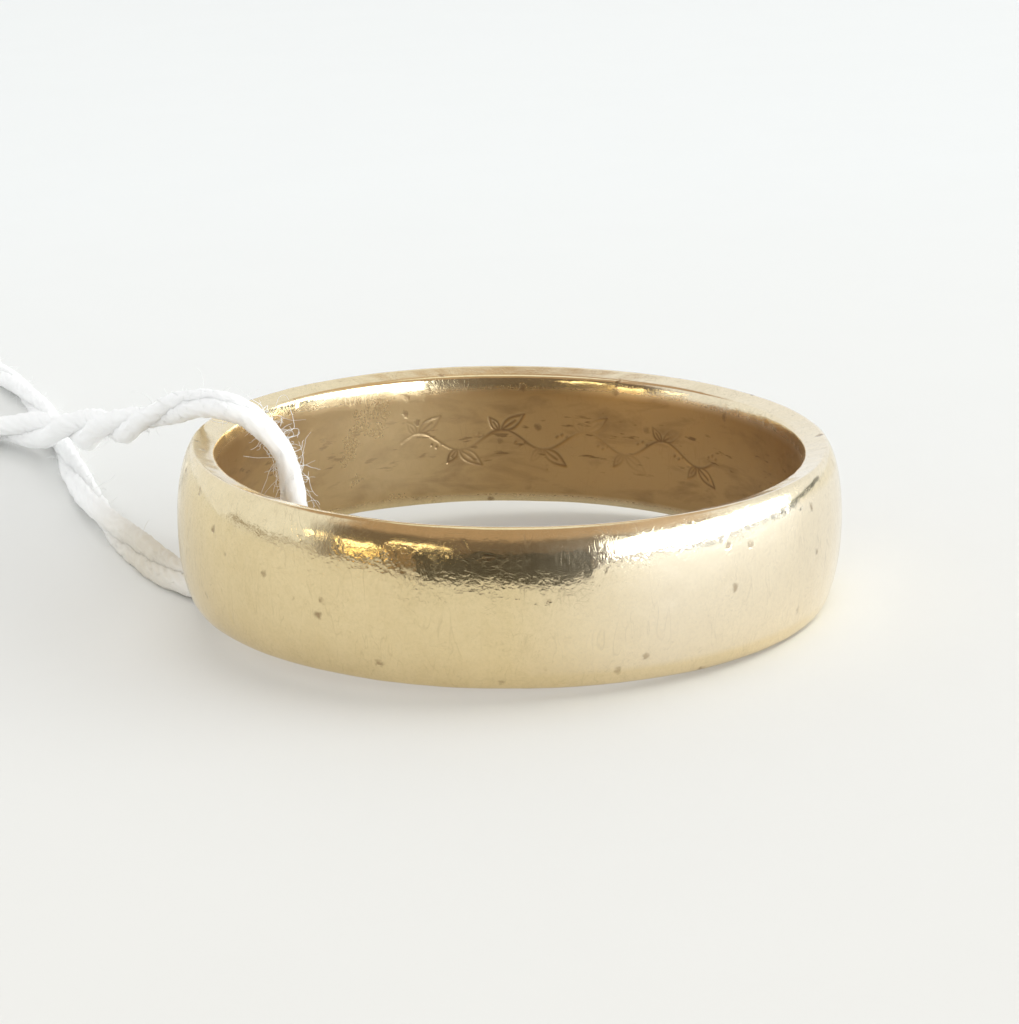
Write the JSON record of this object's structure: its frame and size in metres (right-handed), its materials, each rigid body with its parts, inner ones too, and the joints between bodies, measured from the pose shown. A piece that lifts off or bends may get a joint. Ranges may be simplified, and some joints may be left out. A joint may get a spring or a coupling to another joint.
{
  "type": "wedding band",
  "caption": "Plain D-section gold wedding band, lightly worn, with a twisted cotton tag string looped through the bore and closed by a knot.",
  "frame": {"origin": "centre of the band's bore, half way along its width", "axes": "+Z along the band's axis, towards the rim that the string comes over; the string leaves the band on the -X side and runs away along +Y"},
  "size_m": [0.0437, 0.0507, 0.008],
  "materials": {
    "gold": "polished yellow gold, finely scratched from wear",
    "cotton": "matte white twisted cotton"
  },
  "bodies": {
    "tag_loop": {"tag_string": "cotton", "string_knot": "cotton"},
    "ring": {"band": "gold"}
  },
  "joints": [
    {"name": "band_turn", "type": "hinge", "parent": "tag_loop", "child": "ring", "pos_m": [0, 0, 0], "axis": [0, 0, 1], "continuous": true}
  ]
}
